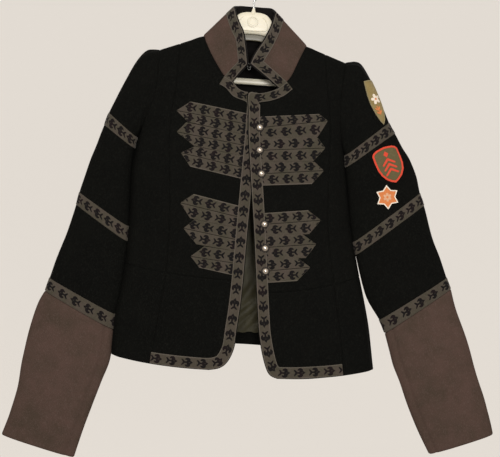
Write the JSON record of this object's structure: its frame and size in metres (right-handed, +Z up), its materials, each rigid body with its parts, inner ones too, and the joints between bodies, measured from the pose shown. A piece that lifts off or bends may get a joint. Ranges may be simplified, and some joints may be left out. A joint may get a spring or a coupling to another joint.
{
  "type": "military-style jacket on a hanger",
  "caption": "Short fitted wool jacket with a tall stand collar, keyhole neck, patterned ribbon frogs, dome buttons and long contrast cuffs, hung on a moulded hanger.",
  "frame": {"origin": "inside top of the hanger's hook, where a rail carries it", "axes": "+Z up, -Y out of the jacket's front, -X towards the wearer's right side"},
  "size_m": [0.871, 0.0921, 0.8706],
  "materials": {
    "black_wool": "matte napped wool",
    "mauve_wool": "matte brushed wool",
    "ribbon": "woven ribbon with a black motif",
    "lining": "satin",
    "dark_facing": "matte",
    "pennant_patch": "embroidered",
    "shield_patch": "embroidered",
    "star_patch": "embroidered",
    "pewter": "dull polished",
    "ivory_plastic": "semi-gloss",
    "steel_wire": "polished"
  },
  "bodies": {
    "root": {"right_front_centre": "black_wool", "right_front_side": "black_wool", "right_peplum_front": "black_wool", "right_peplum_side": "black_wool", "left_front_centre": "black_wool", "left_front_side": "black_wool", "left_peplum_front": "black_wool", "left_peplum_side": "black_wool", "back": "black_wool", "back_peplum": "black_wool", "back_lining": "lining", "neck_facing": "dark_facing", "collar": "mauve_wool", "collar_facing": "dark_facing", "collar_trim": "ribbon", "right_sleeve": "black_wool", "left_sleeve": "black_wool", "right_cuff": "mauve_wool", "left_cuff": "mauve_wool", "right_upper_band": "ribbon", "right_lower_band": "ribbon", "right_cuff_band": "ribbon", "left_upper_band": "ribbon", "left_lower_band": "ribbon", "left_cuff_band": "ribbon", "right_front_trim": "ribbon", "left_front_trim": "ribbon", "right_frog_1": "ribbon", "right_frog_2": "ribbon", "right_frog_3": "ribbon", "right_frog_4": "ribbon", "right_frog_5": "ribbon", "right_frog_6": "ribbon", "left_frog_1": "ribbon", "left_frog_2": "ribbon", "left_frog_3": "ribbon", "left_frog_4": "ribbon", "left_frog_5": "ribbon", "left_frog_6": "ribbon", "button_1": "pewter", "button_2": "pewter", "button_3": "pewter", "button_4": "pewter", "button_5": "pewter", "button_6": "pewter", "clasp_eye": "steel_wire", "clasp_hook": "steel_wire", "pennant_patch": "pennant_patch", "shield_patch": "shield_patch", "star_patch": "star_patch", "hanger_body": "ivory_plastic", "hanger_hook": "steel_wire"}
  },
  "joints": []
}
